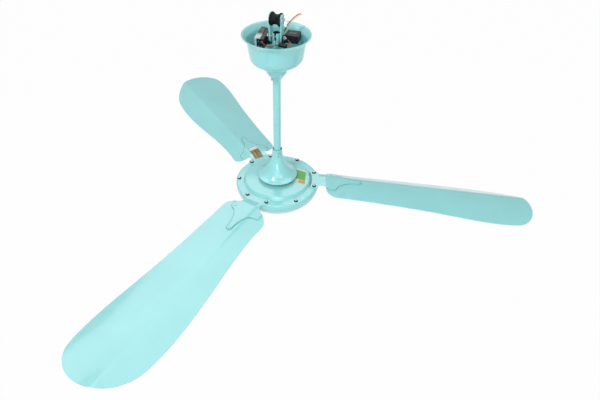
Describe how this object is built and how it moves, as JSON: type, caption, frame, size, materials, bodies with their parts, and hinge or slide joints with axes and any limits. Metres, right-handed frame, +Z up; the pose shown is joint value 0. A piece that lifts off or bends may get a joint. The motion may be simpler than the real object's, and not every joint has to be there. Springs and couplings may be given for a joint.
{
  "type": "ceiling fan",
  "caption": "Ceiling fan with a rubber roller hanger, bowl canopy, down rod, bell canopy, induction motor in stepped covers and long creased metal blades on pressed irons.",
  "frame": {"origin": "underside of the hanger roller's waist, where a ceiling hook bears, on the rod axis", "axes": "+Z up along the rod to the ceiling; +X to the right and +Y to the back as the picture sees the fan"},
  "size_m": [1.1418, 1.2391, 0.546],
  "materials": {
    "teal_paint": "satin",
    "rubber": "matte",
    "zinc": "bright",
    "dark_steel": "satin",
    "black_plastic": "matte",
    "grey_plastic": "matte",
    "brown_sheath": "satin",
    "cream_sheath": "satin",
    "red_sheath": "satin",
    "white_sheath": "satin",
    "orange_sheath": "satin",
    "copper": "satin",
    "laminations": "matte",
    "cast_aluminium": "satin",
    "bearing_steel": "bright",
    "shaft_steel": "satin"
  },
  "bodies": {
    "hanger": {"hanger_strap_left": "teal_paint", "hanger_strap_right": "teal_paint", "roller_bolt": "zinc", "roller_nut": "zinc", "rod_bolt": "zinc", "rod_nut": "zinc", "strap_spacers": "teal_paint", "down_rod": "teal_paint", "mounting_plate": "dark_steel", "capacitor": "black_plastic", "terminal_block": "black_plastic", "terminal_screws": "zinc", "terminal_cover": "grey_plastic", "lead_bush": "rubber", "supply_lead_brown": "brown_sheath", "supply_lead_cream": "cream_sheath", "wire_red": "red_sheath", "wire_white": "white_sheath", "wire_copper": "orange_sheath", "wire_splice": "black_plastic", "rod_coupling": "shaft_steel", "coupling_bolt": "zinc", "coupling_nut": "zinc", "coupling_split_pin": "zinc", "coupling_grub_screw": "dark_steel", "motor_shaft": "shaft_steel", "upper_bearing_inner": "bearing_steel", "lower_bearing_inner": "bearing_steel", "stator_core": "laminations", "stator_winding": "copper", "motor_lead": "black_plastic"},
    "rotor": {"top_cover": "teal_paint", "bottom_cover": "teal_paint", "rotor_ring": "cast_aluminium", "upper_bearing_outer": "bearing_steel", "lower_bearing_outer": "bearing_steel", "upper_bearing_balls": "bearing_steel", "lower_bearing_balls": "bearing_steel", "blade_1": "teal_paint", "blade_2": "teal_paint", "blade_3": "teal_paint", "blade_iron_1": "teal_paint", "blade_iron_2": "teal_paint", "blade_iron_3": "teal_paint", "blade_rivets_1": "teal_paint", "blade_rivets_2": "teal_paint", "blade_rivets_3": "teal_paint", "cover_screws": "zinc", "screw_washers": "rubber"},
    "canopy": {"upper_canopy": "teal_paint", "upper_canopy_screw": "dark_steel"},
    "bell": {"lower_canopy": "teal_paint", "lower_canopy_screw": "zinc"},
    "roller": {"hanger_roller": "rubber"}
  },
  "joints": [
    {"name": "rotor_spin", "type": "hinge", "parent": "hanger", "child": "rotor", "pos_m": [0, 0, -0.437], "axis": [0, 0, 1], "continuous": true},
    {"name": "canopy_slide", "type": "slide", "parent": "hanger", "child": "canopy", "axis": [0, 0, 1], "range_m": [-0.115, 0.02]},
    {"name": "bell_slide", "type": "slide", "parent": "hanger", "child": "bell", "axis": [0, 0, 1], "range_m": [-0.001, 0.075]},
    {"name": "roller_spin", "type": "hinge", "parent": "hanger", "child": "roller", "pos_m": [0, 0, 0.011], "axis": [0.9135, -0.4067, 0], "continuous": true}
  ]
}
